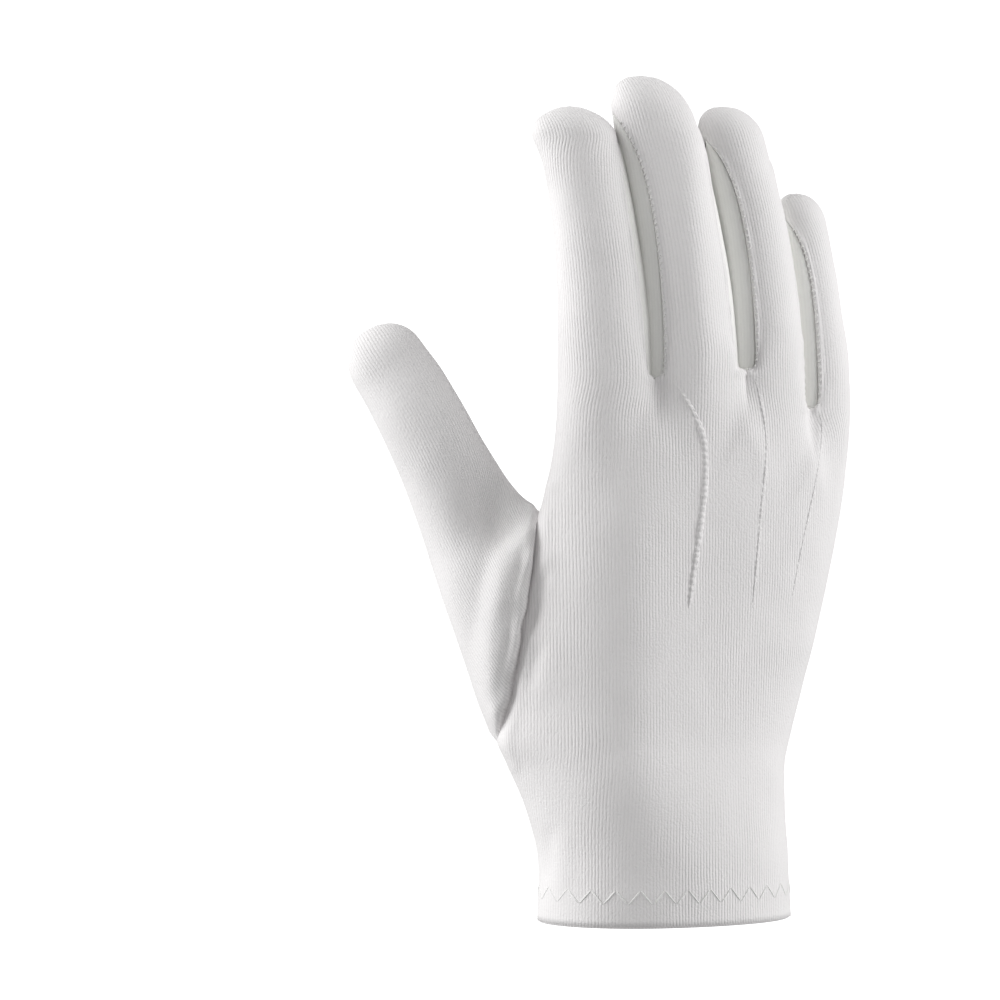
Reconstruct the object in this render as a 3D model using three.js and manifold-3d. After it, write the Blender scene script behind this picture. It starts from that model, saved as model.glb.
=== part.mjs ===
// White stockinette parade glove for the right hand, filled out as on a hand, with the fingers up.
// Millimetres. +Z runs from the hem to the fingertips, the back of the hand faces -Y and the
// little finger is at +X. The origin is the middle of the wrist opening.

import * as THREE from "three";
import { mergeVertices } from "three/addons/utils/BufferGeometryUtils.js";
import Module from "manifold-3d";

const wasm = await Module();
wasm.setup();

// The cloth
const wall = 1.2; // thickness of the stockinette
const seamGap = 0.3; // between two pieces at a seam
const mitre = 0.4; // further that a side strip's inner edge is cut back, where the cloth turns in
const sharpest = 0.12; // limits how far a strip's pointed end is cut back
const seamAngle = 52; // degrees from a finger's back to the seam on its side, at the crotch
const seamOpening = 6; // how late that seam turns to the finger's side: a higher power is later
const seamPull = 0.3; // share across a finger's side from where it is drawn to its neighbour
const pullFade = 3; // how soon away from the seam that pull softens, as a power
const widestSeam = 0.97; // share of the hand's half breadth that a finger's seam lies within

// The hand and the wrist
const palmHeight = 158.5; // hem to the level where the index and middle fingers part
const littleCrotchDrop = 8; // how much lower the ring and little fingers part
const wristBreadth = 74;
const wristDepth = 46;
const palmBreadth = 86;
const palmDepth = 35;
const handTurn = 22; // degrees that the little finger side lies further back
const hemHeight = 10.5; // depth of the turned-up hem
const knuckleBlend = 42; // height over which the hand's round section becomes four fingers
const crotchOpening = 13; // height over which two fingers open from their crotch

// The fingers
const indexLength = 76.5;
const indexBreadth = 25.4;
const middleLength = 86;
const middleBreadth = 26.4;
const ringLength = 78;
const ringBreadth = 22.2;
const littleLength = 61.5;
const littleBreadth = 18;
const fingerFlatness = 0.88; // depth of a finger as a share of its breadth
const fingerBend = 1.9; // its lean and curl grow with this power of the way up it
const tipPower = 2.3; // roundness of the fingertips: 2 is an ellipse, more is squarer

// The thumb
const thumbLength = 96;
const thumbBreadth = 26.6;
const thumbDepth = 23;
const thumbLean = 27; // degrees from upright, away from the hand
const thumbPalmward = 14; // how far its tip lies toward the palm
const thumbSeamHeight = 68; // height of the oval that it is sewn into
const thumbSeamFoot = 51; // hem to the foot of that oval
const thumbSeamAngle = -99; // degrees round the hand, from the middle of the back to the oval
const thumbSeamReach = 25; // degrees that the oval reaches to either side of that
const thumbBlendStart = -0.12; // shares of thumbLength between which the oval turns into rounds
const thumbBlendEnd = 0.3;
const thumbTipStart = 0.88; // share of thumbLength where the tip begins to round
const thumbSink = 4; // how far its sleeve reaches into the hand before it is trimmed

// The raised points on the back
const pointBreadth = 2;
const pointRise = 1.1;
const pointEndRise = 0.2; // share of the rise that is left at its ends
const pointFade = 6; // how late it falls to that: a higher power is later

// Sections up the hand. Heights are shares of palmHeight. spread is how far a section has gone from
// the wrist's size to the palm's, and the other lengths are shares of the size it has reached.
const handRows = [
  { height: 0, spread: 0, thumbSide: -0.497, littleSide: 0.501, back: 0.5, palm: 0.5, set: 0 },
  { height: 0.12, spread: 0, thumbSide: -0.496, littleSide: 0.49, back: 0.5, palm: 0.49, set: 0 },
  { height: 0.2, spread: 0.1, thumbSide: -0.532, littleSide: 0.472, back: 0.49, palm: 0.48, set: 0 },
  { height: 0.28, spread: 0.3, thumbSide: -0.584, littleSide: 0.462, back: 0.49, palm: 0.5, set: 0 },
  { height: 0.325, spread: 0.4, thumbSide: -0.626, littleSide: 0.475, back: 0.49, palm: 0.51, set: 0.01 },
  { height: 0.4, spread: 0.6, thumbSide: -0.59, littleSide: 0.5, back: 0.49, palm: 0.54, set: 0.02 },
  { height: 0.536, spread: 0.8, thumbSide: -0.545, littleSide: 0.551, back: 0.49, palm: 0.56, set: 0.04 },
  { height: 0.694, spread: 1, thumbSide: -0.459, littleSide: 0.6, back: 0.48, palm: 0.54, set: 0.06 },
  { height: 0.82, spread: 1, thumbSide: -0.393, littleSide: 0.622, back: 0.46, palm: 0.48, set: 0.08 },
  { height: 1, spread: 1, thumbSide: -0.365, littleSide: 0.637, back: 0.43, palm: 0.4, set: 0.09 },
];

// The fingers from thumb side to little finger side. foot is how far its foot is down from the palm's
// height, in shares of littleCrotchDrop. across and palmward place that foot, in shares of palmBreadth
// and palmDepth, and turn is how many degrees its back faces the little finger side. lean is how far
// its tip lies toward the thumb and curl how far toward the palm, in shares of its length. tip is its
// rounded end's height in shares of its breadth.
const fingers = [
  {
    name: "index", length: indexLength, breadth: indexBreadth, foot: 0, across: -0.205,
    palmward: -0.286, turn: 12, lean: 0.126, curl: 0.07, tip: 0.3,
  },
  {
    name: "middle", length: middleLength, breadth: middleBreadth, foot: 0, across: 0.083,
    palmward: -0.075, turn: 20, lean: 0.16, curl: 0.06, tip: 0.46,
  },
  {
    name: "ring", length: ringLength, breadth: ringBreadth, foot: 0, across: 0.347,
    palmward: 0.235, turn: 38, lean: 0.154, curl: 0.06, tip: 0.42,
  },
  {
    name: "little", length: littleLength, breadth: littleBreadth, foot: 1, across: 0.545,
    palmward: 0.58, turn: 48, lean: 0.11, curl: 0.05, tip: 0.46,
  },
];

// Breadth and depth along a finger, as shares of the finger's own.
const fingerRows = [
  { along: 0, breadth: 1.06, depth: 1.05 },
  { along: 0.25, breadth: 1.01, depth: 1 },
  { along: 0.5, breadth: 0.95, depth: 0.95 },
  { along: 0.75, breadth: 0.91, depth: 0.88 },
  { along: 1, breadth: 0.89, depth: 0.82 },
];

// Sections along the thumb. along and bow are shares of thumbLength, breadth and depth shares of the
// thumb's own, and tilt is the angle in degrees from level to the line across the section.
const thumbRows = [
  { along: 0.12, bow: 0.004, breadth: 2.05, depth: 1.35, tilt: 70 },
  { along: 0.2, bow: 0.006, breadth: 1.72, depth: 1.24, tilt: 66 },
  { along: 0.31, bow: 0.01, breadth: 1.48, depth: 1.14, tilt: 62 },
  { along: 0.454, bow: 0.022, breadth: 1.22, depth: 1.04, tilt: 55 },
  { along: 0.6, bow: 0.032, breadth: 1.08, depth: 0.99, tilt: 50 },
  { along: 0.766, bow: 0.03, breadth: 0.95, depth: 0.92, tilt: 43 },
  { along: 0.87, bow: 0.02, breadth: 0.88, depth: 0.82, tilt: 38 },
  { along: 1, bow: 0.004, breadth: 0.84, depth: 0.74, tilt: 30 },
];

// Where each raised point runs. Heights are shares of palmHeight, across shares of palmBreadth.
const pointRows = {
  index: [
    { height: 0.955, across: 0.057 },
    { height: 0.893, across: 0.115 },
    { height: 0.833, across: 0.131 },
    { height: 0.748, across: 0.119 },
    { height: 0.569, across: 0.071 },
  ],
  middle: [
    { height: 0.965, across: 0.315 },
    { height: 0.87, across: 0.341 },
    { height: 0.734, across: 0.321 },
    { height: 0.563, across: 0.293 },
  ],
  ring: [
    { height: 0.915, across: 0.543 },
    { height: 0.87, across: 0.54 },
    { height: 0.778, across: 0.509 },
    { height: 0.671, across: 0.465 },
    { height: 0.578, across: 0.431 },
  ],
};

// How finely the surfaces are divided
const handSteps = 19;
const fingerSteps = 14;
const fourchetteEnd = 12; // the step of a finger where its side strips end
const backSteps = 5;
const palmSteps = 4;
const sideSteps = 3;
const thumbSteps = 14;
const thumbRoundSteps = 20;
const pointSteps = 14;
const pointRoundSteps = 6;
const levelCrowding = 1.35; // the hand's sections crowd toward the crotches by this power
const shortEdge = 0.02; // a cut leaves nothing finer than this
const sameCorner = 0.001; // corners nearer than this are one
const halfTurn = 180; // degrees from the middle of the back round to the middle of the palm

const { clamp, degToRad, lerp, radToDeg, smoothstep } = THREE.MathUtils;

// Value of one column of a table, on a smooth cubic through its rows.
function columnAt(rows, along, column, at) {
  const last = rows.length - 1;
  const slope = (k) => {
    const before = rows[Math.max(k - 1, 0)];
    const after = rows[Math.min(k + 1, last)];
    return (after[column] - before[column]) / (after[along] - before[along]);
  };
  let k = 0;
  while (k < last - 1 && at > rows[k + 1][along]) k += 1;
  const step = rows[k + 1][along] - rows[k][along];
  const t = clamp((at - rows[k][along]) / step, 0, 1);
  const rise = t * t * (3 - 2 * t);
  const start = t * (1 - t) * (1 - t) * step * slope(k);
  const end = t * t * (t - 1) * step * slope(k + 1);
  return lerp(rows[k][column], rows[k + 1][column], rise) + start + end;
}

// The hand's section at a height: an oval, rounder at the back than at the palm, turned by handTurn.
function handSection(z) {
  const height = z / palmHeight;
  const read = (column) => columnAt(handRows, "height", column, height);
  const breadth = lerp(wristBreadth, palmBreadth, read("spread"));
  const depth = lerp(wristDepth, palmDepth, read("spread"));
  const thumbSide = read("thumbSide") * breadth;
  const littleSide = read("littleSide") * breadth;
  const back = read("back") * depth;
  const palm = read("palm") * depth;
  const turn = degToRad(handTurn);
  const seen = (littleSide - thumbSide) / 2;
  const mean = (back + palm) / 2;
  return {
    centre: new THREE.Vector3((littleSide + thumbSide) / 2, read("set") * depth, z),
    across: new THREE.Vector3(Math.cos(turn), Math.sin(turn), 0),
    outward: new THREE.Vector3(Math.sin(turn), -Math.cos(turn), 0),
    halfBreadth: Math.sqrt(seen ** 2 - (mean * Math.sin(turn)) ** 2) / Math.cos(turn),
    back,
    palm,
  };
}

// A point of the hand's section, at an angle in degrees from the middle of the back.
function ringPoint(angle, z) {
  const section = handSection(z);
  const a = degToRad(angle);
  const depth = Math.cos(a) > 0 ? section.back : section.palm;
  return section.centre
    .clone()
    .addScaledVector(section.across, section.halfBreadth * Math.sin(a))
    .addScaledVector(section.outward, depth * Math.cos(a));
}

// Height where finger number k parts from the one before it.
const crotchHeights = [0, 0, 0, littleCrotchDrop, littleCrotchDrop].map((drop) => palmHeight - drop);

function tipHeight(finger) {
  return palmHeight - finger.foot * littleCrotchDrop + finger.length;
}

// A point of a finger's section, at an angle in degrees from the finger's own back.
function fingerPoint(finger, angle, z) {
  const foot = palmHeight - finger.foot * littleCrotchDrop;
  const along = clamp((z - foot) / finger.length, 0, 1);
  const bend = along ** fingerBend;
  const round = finger.tip * finger.breadth;
  const below = clamp((tipHeight(finger) - z) / round, 0, 1);
  const full = (1 - (1 - below) ** tipPower) ** (1 / tipPower);
  const halfBreadth = (finger.breadth / 2) * columnAt(fingerRows, "along", "breadth", along) * full;
  const halfDepth =
    (finger.breadth / 2) * fingerFlatness * columnAt(fingerRows, "along", "depth", along) * full;
  const turn = degToRad(finger.turn);
  const a = degToRad(angle);
  const side = halfBreadth * Math.sin(a);
  const out = halfDepth * Math.cos(a);
  return new THREE.Vector3(
    finger.across * palmBreadth - finger.lean * finger.length * bend
      + side * Math.cos(turn) + out * Math.sin(turn),
    finger.palmward * palmDepth + finger.curl * finger.length * bend
      + side * Math.sin(turn) - out * Math.cos(turn),
    z,
  );
}

// The angle from a finger's back to its seam. It opens to the finger's side where the strip ends.
function seamAt(bounded, level) {
  if (!bounded) return seamAngle;
  const end = fingerLevels[fourchetteEnd] - 1;
  return lerp(seamAngle, halfTurn / 2, clamp((level - 1) / end, 0, 1) ** seamOpening);
}

// Levels run from 0 at the hem to 1 at the crotches and 2 at the fingertips, closer where it bends.
const handLevels = Array.from(
  { length: handSteps + 1 },
  (_, k) => 1 - (1 - k / handSteps) ** levelCrowding,
);
const fingerLevels = Array.from(
  { length: fingerSteps + 1 },
  (_, k) => 1 + (1 - Math.cos((Math.PI * k) / fingerSteps)) / 2,
);

// The angle round a finger at a share of one of its four sides.
function fingerAngle(number, side, share, level) {
  const thumbSeam = seamAt(number > 0, level);
  const littleSeam = seamAt(number < fingers.length - 1, level);
  const ends = {
    back: [-thumbSeam, littleSeam],
    little: [littleSeam, halfTurn - littleSeam],
    palm: [halfTurn - littleSeam, halfTurn + thumbSeam],
    thumb: [halfTurn + thumbSeam, 2 * halfTurn - thumbSeam],
  }[side];
  return lerp(ends[0], ends[1], share);
}

// A finger's own point, drawn to its neighbour's near the crotch so that the two meet there.
function joinedPoint(number, side, share, level, z) {
  const own = fingerPoint(fingers[number], fingerAngle(number, side, share, level), z);
  const ahead = side === "back" || side === "palm";
  const nearness = side === "back" ? [1 - share, share] : [share, 1 - share];
  const pulls = [
    { by: -1, crotch: number, weight: ahead ? nearness[0] : Number(side === "thumb") },
    { by: 1, crotch: number + 1, weight: ahead ? nearness[1] : Number(side === "little") },
  ];
  const drawn = own.clone();
  for (const pull of pulls) {
    const other = number + pull.by;
    const weight = smoothstep(pull.weight, seamPull, 1);
    if (!fingers[other] || weight === 0) continue;
    const risen = clamp((z - crotchHeights[pull.crotch]) / crotchOpening, 0, 1);
    const atSeam = 1 - Math.sqrt(risen * (2 - risen));
    const onCloth = (1 + Math.cos(Math.PI * risen)) / 2;
    const close = lerp(onCloth, atSeam, weight ** pullFade);
    const facing = { little: "thumb", thumb: "little" }[side] ?? side;
    const otherShare = ahead ? (pull.by > 0) === (side === "back") ? 0 : 1 : 1 - share;
    const ownEdge = ahead ? 1 - otherShare : share;
    const from = fingerPoint(fingers[number], fingerAngle(number, side, ownEdge, level), z);
    const to = fingerPoint(fingers[other], fingerAngle(other, facing, otherShare, level), z);
    drawn.addScaledVector(to.sub(from), 0.5 * weight * close);
  }
  return drawn;
}

// The hand section's angle that lies abreast of a finger's seam at its crotch.
function abreast(number, side, share) {
  const crotch = number + Number(side === "back" ? share === 1 : share === 0);
  const z = crotchHeights[crotch];
  const section = handSection(z);
  const offset = joinedPoint(number, side, share, 1, z).sub(section.centre).dot(section.across);
  const seat = clamp(offset / section.halfBreadth, -widestSeam, widestSeam);
  const angle = radToDeg(Math.asin(seat));
  return side === "back" ? angle : halfTurn - angle;
}

const ringAngles = fingers.map((_, number) => ({
  back: [abreast(number, "back", 0), abreast(number, "back", 1)],
  palm: [abreast(number, "palm", 0), abreast(number, "palm", 1)],
}));
const lastFinger = fingers.length - 1;
const ringEnds = (number, side) =>
  ({
    back: ringAngles[number].back,
    palm: ringAngles[number].palm,
    little: [ringAngles[lastFinger].back[1], ringAngles[lastFinger].palm[0]],
    thumb: [ringAngles[0].palm[1], 2 * halfTurn + ringAngles[0].back[0]],
  })[side];

// A point of the glove's outside: finger number, side, share across that side and level.
function glovePoint(number, side, share, level) {
  const toLittle = { back: share, palm: 1 - share, little: 1, thumb: 0 }[side];
  const crotch = lerp(crotchHeights[number], crotchHeights[number + 1], toLittle);
  if (level > 1) {
    const z = lerp(crotch, tipHeight(fingers[number]), level - 1);
    return joinedPoint(number, side, share, level, z);
  }
  const z = crotch * level;
  const [from, to] = ringEnds(number, side);
  const ring = ringPoint(lerp(from, to, share), z);
  const blend = smoothstep(z, crotch - knuckleBlend, crotch);
  return blend === 0 ? ring : ring.lerp(joinedPoint(number, side, share, 1, z), blend);
}

// A sheet of cloth as triangles with shared corners. Each grid is rows of points, outside facing.
class Sheet {
  constructor() {
    this.points = [];
    this.faces = [];
    this.found = new Map();
  }

  corner(point) {
    const key = point.toArray().map((v) => Math.round(v / sameCorner)).join();
    if (!this.found.has(key)) {
      this.found.set(key, this.points.length);
      this.points.push(point);
    }
    return this.found.get(key);
  }

  grid(rows, piece) {
    const corners = rows.map((row) => row.map((point) => this.corner(point)));
    for (let r = 0; r + 1 < corners.length; r += 1) {
      for (let c = 0; c + 1 < corners[r].length; c += 1) {
        const [a, b] = [corners[r][c], corners[r][c + 1]];
        const [d, e] = [corners[r + 1][c], corners[r + 1][c + 1]];
        for (const face of [[a, b, e], [a, e, d]]) {
          if (new Set(face).size === 3) this.faces.push({ face, piece });
        }
      }
    }
  }

  // Outward direction at each corner, the mean of the faces round it.
  normals() {
    const sums = this.points.map(() => new THREE.Vector3());
    for (const { face } of this.faces) {
      const [a, b, c] = face.map((k) => this.points[k]);
      const normal = b.clone().sub(a).cross(c.clone().sub(a));
      for (const k of face) sums[k].add(normal);
    }
    return sums.map((sum) => sum.normalize());
  }
}

// A closed solid from outer and inner corners, the faces of one piece and the walls at its edges.
function thickened(outer, inner, faces) {
  const count = outer.length;
  const triangles = [];
  const open = new Map();
  for (const [a, b, c] of faces) {
    triangles.push(a, b, c, a + count, c + count, b + count);
    for (const [from, to] of [[a, b], [b, c], [c, a]]) {
      if (!open.delete(`${to},${from}`)) open.set(`${from},${to}`, [from, to]);
    }
  }
  for (const [from, to] of open.values()) {
    triangles.push(from, from + count, to + count, from, to + count, to);
  }
  return solidOf([...outer, ...inner], triangles);
}

function solidOf(points, triangles) {
  const geometry = new THREE.BufferGeometry().setFromPoints(points);
  geometry.setIndex(triangles);
  const merged = mergeVertices(geometry, sameCorner / 10);
  return new wasm.Manifold(
    new wasm.Mesh({
      numProp: 3,
      vertProperties: merged.attributes.position.array,
      triVerts: new Uint32Array(merged.index.array),
    }),
  );
}

const moved = (points, directions, by) =>
  points.map((point, k) => point.clone().addScaledVector(directions[k], by));

const shares = (steps) => Array.from({ length: steps + 1 }, (_, k) => k / steps);

// The whole outside, hem to fingertips
const hand = new Sheet();
const pieceBetween = (number) => `fourchette_${fingers[number].name}_${fingers[number + 1].name}`;
fingers.forEach((_, number) => {
  const levels = [...handLevels, ...fingerLevels.slice(1)];
  const rows = (side, steps, at) =>
    at.map((level) => shares(steps).map((share) => glovePoint(number, side, share, level)));
  hand.grid(rows("back", backSteps, levels), "trank");
  hand.grid(rows("palm", palmSteps, levels), "trank");
  const strip = fingerLevels.slice(0, fourchetteEnd + 1);
  if (number === 0) hand.grid(rows("thumb", sideSteps, levels), "trank");
  else hand.grid(rows("thumb", sideSteps, strip), pieceBetween(number - 1));
  if (number === lastFinger) hand.grid(rows("little", sideSteps, levels), "trank");
  else hand.grid(rows("little", sideSteps, strip), pieceBetween(number));
});
const handNormals = hand.normals().map((normal, k) =>
  hand.points[k].z === 0 ? normal.setZ(0).normalize() : normal,
);
const handInner = moved(hand.points, handNormals, -wall);

function pieceFaces(name) {
  return hand.faces.filter(({ piece }) => piece === name).map(({ face }) => face);
}

// Corners of a piece drawn back from its own edge along the cloth.
function drawnBack(points, faces, by) {
  const edge = new Map();
  for (const face of faces) {
    face.forEach((from, k) => {
      const to = face[(k + 1) % 3];
      if (!edge.delete(`${to},${from}`)) edge.set(`${from},${to}`, [from, to, face]);
    });
  }
  const inward = new Map(points.map((_, k) => [k, []]));
  for (const [from, to, face] of edge.values()) {
    const third = points[face.find((k) => k !== from && k !== to)];
    const along = points[to].clone().sub(points[from]).normalize();
    const into = third.clone().sub(points[from]);
    into.addScaledVector(along, -into.dot(along)).normalize();
    for (const k of [from, to]) inward.get(k).push(into);
  }
  return points.map((point, k) => {
    const [one, other] = inward.get(k);
    if (!one) return point;
    const corner = Math.max(1 + one.dot(other), sharpest);
    return point.clone().addScaledVector(one, by / corner).addScaledVector(other, by / corner);
  });
}

// The largest body of a cut solid, without the slivers and short edges that the cut leaves.
function main(solid) {
  const bodies = solid.simplify(shortEdge).decompose();
  return bodies.reduce((best, body) => (body.volume() > best.volume() ? body : best));
}

const solids = new Map();
const trankFaces = pieceFaces("trank");

// The trank with half a seam's gap round it, which the side strips are cut clear of
const trankRoom = thickened(
  drawnBack(moved(hand.points, handNormals, seamGap / 2), trankFaces, -seamGap / 2),
  drawnBack(moved(handInner, handNormals, -seamGap / 2), trankFaces, -seamGap / 2),
  trankFaces,
);
for (let number = 0; number < lastFinger; number += 1) {
  const name = pieceBetween(number);
  const faces = pieceFaces(name);
  const outer = drawnBack(hand.points, faces, seamGap);
  const inner = drawnBack(handInner, faces, seamGap + mitre);
  solids.set(name, main(thickened(outer, inner, faces).subtract(trankRoom)));
}

// The thumb. Its foot is an oval drawn on the hand's side, and its sections turn from that oval to
// the rounds of the thumb. The turn starts at the web and goes by the back and the outer edge.
const seamMiddle = thumbSeamFoot + thumbSeamHeight / 2;

function seamOval(turn, sink) {
  const z = seamMiddle + (thumbSeamHeight / 2) * Math.cos(turn);
  const angle = thumbSeamAngle + thumbSeamReach * Math.sin(turn);
  const point = ringPoint(angle, z);
  const ahead = ringPoint(angle + 1, z).sub(point);
  const above = ringPoint(angle, z + 1).sub(point);
  return point.addScaledVector(ahead.cross(above).normalize(), -sink);
}

const thumbAxis = new THREE.Vector3(
  -Math.sin(degToRad(thumbLean)),
  0,
  Math.cos(degToRad(thumbLean)),
);
const thumbFoot = seamOval(0, 0).add(seamOval(Math.PI, 0)).multiplyScalar(0.5);

function thumbSection(turn, along) {
  const read = (column) => columnAt(thumbRows, "along", column, along);
  const tilt = degToRad(read("tilt"));
  const bow = read("bow") * thumbLength;
  const intoTip = clamp((along - thumbTipStart) / (1 - thumbTipStart), 0, 1);
  const full = (1 - intoTip ** tipPower) ** (1 / tipPower);
  const across = new THREE.Vector3(Math.cos(tilt), 0, Math.sin(tilt));
  return thumbFoot
    .clone()
    .addScaledVector(thumbAxis, along * thumbLength)
    .add(new THREE.Vector3(Math.cos(degToRad(thumbLean)) * bow, thumbPalmward * along, 0))
    .addScaledVector(across, (thumbBreadth / 2) * read("breadth") * full * Math.cos(turn))
    .add(new THREE.Vector3(0, (-thumbDepth / 2) * read("depth") * full * Math.sin(turn), 0));
}

function thumbPoint(turn, along) {
  const mix = smoothstep(along, thumbBlendStart, thumbBlendEnd);
  const start = smoothstep(0, thumbBlendStart, thumbBlendEnd);
  return seamOval(turn, 0).lerp(thumbSection(turn, Math.max(along, 0)), (mix - start) / (1 - start));
}

const thumbTurns = shares(thumbRoundSteps).map((share) => 2 * Math.PI * share);
const thumbLevels = shares(thumbSteps).map((share) => Math.sin((Math.PI / 2) * share));
const thumbSheet = new Sheet();
thumbSheet.grid(
  [
    thumbTurns.map((turn) => seamOval(turn, thumbSink)),
    ...thumbLevels.map((along) => thumbTurns.map((turn) => thumbPoint(turn, along))),
  ].map((row) => row.reverse()),
  "thumb",
);
const thumbNormals = thumbSheet.normals();
const thumbFaces = thumbSheet.faces.map(({ face }) => face);
const thumbInner = moved(thumbSheet.points, thumbNormals, -wall);

// A closed solid from an open sheet, its one opening closed by a fan.
function plug(points, faces) {
  const open = new Map();
  for (const [a, b, c] of faces) {
    for (const [from, to] of [[a, b], [b, c], [c, a]]) {
      if (!open.delete(`${to},${from}`)) open.set(`${from},${to}`, [from, to]);
    }
  }
  const middle = new THREE.Vector3();
  for (const [from] of open.values()) middle.addScaledVector(points[from], 1 / open.size);
  const triangles = faces.flat();
  for (const [from, to] of open.values()) triangles.push(to, from, points.length);
  return solidOf([...points, middle], triangles);
}

const allFaces = hand.faces.map(({ face }) => face);
const handCavity = plug(handInner, allFaces);
const thumbSpace = plug(moved(thumbSheet.points, thumbNormals, seamGap), thumbFaces);
solids.set("thumb", thickened(thumbSheet.points, thumbInner, thumbFaces).subtract(handCavity));
solids.set("trank", thickened(hand.points, handInner, trankFaces).subtract(thumbSpace));

// The hem: a band of the same cloth turned up inside the wrist
const hemSheet = new Sheet();
const hemAngles = fingers
  .flatMap((_, number) => shares(backSteps).map((s) => lerp(...ringEnds(number, "back"), s)))
  .concat(shares(sideSteps).map((s) => lerp(...ringEnds(lastFinger, "little"), s)))
  .concat(
    fingers.flatMap((_, k) => {
      const number = lastFinger - k;
      return shares(palmSteps).map((s) => lerp(...ringEnds(number, "palm"), s));
    }),
  )
  .concat(shares(sideSteps).map((s) => lerp(...ringEnds(0, "thumb"), s)));
hemSheet.grid(
  [0, 0.5, 1].map((share) => hemAngles.map((angle) => ringPoint(angle, share * hemHeight))),
  "cuff_hem",
);
const hemNormals = hemSheet.normals().map((normal) => normal.setZ(0).normalize());
solids.set(
  "cuff_hem",
  thickened(
    moved(hemSheet.points, hemNormals, -wall - seamGap),
    moved(hemSheet.points, hemNormals, -2 * wall - seamGap),
    hemSheet.faces.map(({ face }) => face),
  ),
);

// The back's surface at a place across the hand and a height, by a walk over its four strips.
function backAt(x, z) {
  const walk = fingers.flatMap((_, number) =>
    shares(4 * backSteps).map((share) => {
      const crotch = lerp(crotchHeights[number], crotchHeights[number + 1], share);
      return glovePoint(number, "back", share, Math.min(z / crotch, 1));
    }),
  );
  const k = walk.findIndex((point, n) => n > 0 && point.x >= x && walk[n - 1].x < x);
  const [before, after] = [walk[k - 1], walk[k]];
  return before.clone().lerp(after, (x - before.x) / (after.x - before.x));
}

// A raised point: a half-round ridge that lies along the back.
function raisedPoint(rows) {
  const last = rows.length - 1;
  const round = shares(pointRoundSteps).map((share) => Math.PI * share);
  const rings = shares(pointSteps).map((share) => {
    const height = lerp(rows[last].height, rows[0].height, share);
    const sorted = [...rows].reverse();
    const x = columnAt(sorted, "height", "across", height) * palmBreadth;
    const z = height * palmHeight;
    const seat = backAt(x, z);
    const across = backAt(x + pointBreadth / 2, z).sub(backAt(x - pointBreadth / 2, z)).normalize();
    const out = new THREE.Vector3(across.y, -across.x, 0).normalize();
    const fade = lerp(pointEndRise, 1, Math.sqrt(1 - Math.abs(2 * share - 1) ** pointFade));
    const section = round.map((turn) =>
      seat
        .clone()
        .addScaledVector(out, seamGap + pointRise * fade * Math.sin(turn))
        .addScaledVector(across, (pointBreadth / 2) * Math.cos(turn)),
    );
    return [...section, section[0]];
  });
  const middles = [rings[0], rings.at(-1)].map((ring) => {
    const sum = new THREE.Vector3();
    ring.slice(1).forEach((point) => sum.addScaledVector(point, 1 / (ring.length - 1)));
    return sum;
  });
  const sheet = new Sheet();
  sheet.grid(
    [rings[0].map(() => middles[0]), ...rings, rings[0].map(() => middles[1])].map((row) => row.reverse()),
    "point",
  );
  return solidOf(sheet.points, sheet.faces.flatMap(({ face }) => face));
}

for (const [name, rows] of Object.entries(pointRows)) {
  solids.set(`back_point_${name}`, raisedPoint(rows));
}

// Bleached white cotton, a touch greyer on the inside band
const cotton = new THREE.MeshStandardMaterial({ color: 0xf2f2ef, roughness: 0.92, metalness: 0 });
const hemCotton = new THREE.MeshStandardMaterial({ color: 0xe9e9e5, roughness: 0.94, metalness: 0 });

function meshOf(name, solid) {
  const made = solid.getMesh();
  const geometry = new THREE.BufferGeometry();
  geometry.setAttribute("position", new THREE.BufferAttribute(made.vertProperties, 3));
  geometry.setIndex(new THREE.BufferAttribute(made.triVerts, 1));
  geometry.computeVertexNormals();
  const mesh = new THREE.Mesh(geometry, name === "cuff_hem" ? hemCotton : cotton);
  mesh.name = name;
  return mesh;
}

const glove = new THREE.Group();
glove.name = "white_parade_glove";
for (const [name, solid] of solids) glove.add(meshOf(name, solid));

export default glove;
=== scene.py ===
"""White stockinette parade glove for the right hand, filled out, in metres in the frame of the
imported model: +Z runs from the hem to the fingertips, the back of the hand faces -Y, the thumb is at
-X. Sizes in the sections are millimetres until a mesh is made."""

import bpy
import numpy as np
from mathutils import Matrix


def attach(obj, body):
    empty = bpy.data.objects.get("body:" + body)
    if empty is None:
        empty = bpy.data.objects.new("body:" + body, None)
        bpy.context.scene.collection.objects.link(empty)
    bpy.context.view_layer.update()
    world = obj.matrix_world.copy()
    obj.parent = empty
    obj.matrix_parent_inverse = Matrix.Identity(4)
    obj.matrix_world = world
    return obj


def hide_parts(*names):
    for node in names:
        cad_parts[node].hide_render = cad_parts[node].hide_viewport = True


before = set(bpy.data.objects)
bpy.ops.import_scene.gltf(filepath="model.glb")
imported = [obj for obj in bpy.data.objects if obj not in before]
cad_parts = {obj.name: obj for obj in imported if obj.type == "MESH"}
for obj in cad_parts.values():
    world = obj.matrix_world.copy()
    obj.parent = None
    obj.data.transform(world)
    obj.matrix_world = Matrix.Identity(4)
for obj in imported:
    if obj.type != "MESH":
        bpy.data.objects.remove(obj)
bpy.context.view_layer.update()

# The camera: level with the middle of the glove, straight at its back, as the photograph was taken.
# 1.2 m off, it takes in 290 mm at the glove.
camera = bpy.data.objects.new("camera", bpy.data.cameras.new("camera"))
bpy.context.scene.collection.objects.link(camera)
camera.data.sensor_width = 36
camera.data.lens = 36 * 1200 / 290
camera.data.clip_start = 0.01
camera.location = (-0.04756, -1.2, 0.12122)
camera.rotation_euler = (np.pi / 2, 0, 0)
bpy.context.scene.camera = camera


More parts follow.
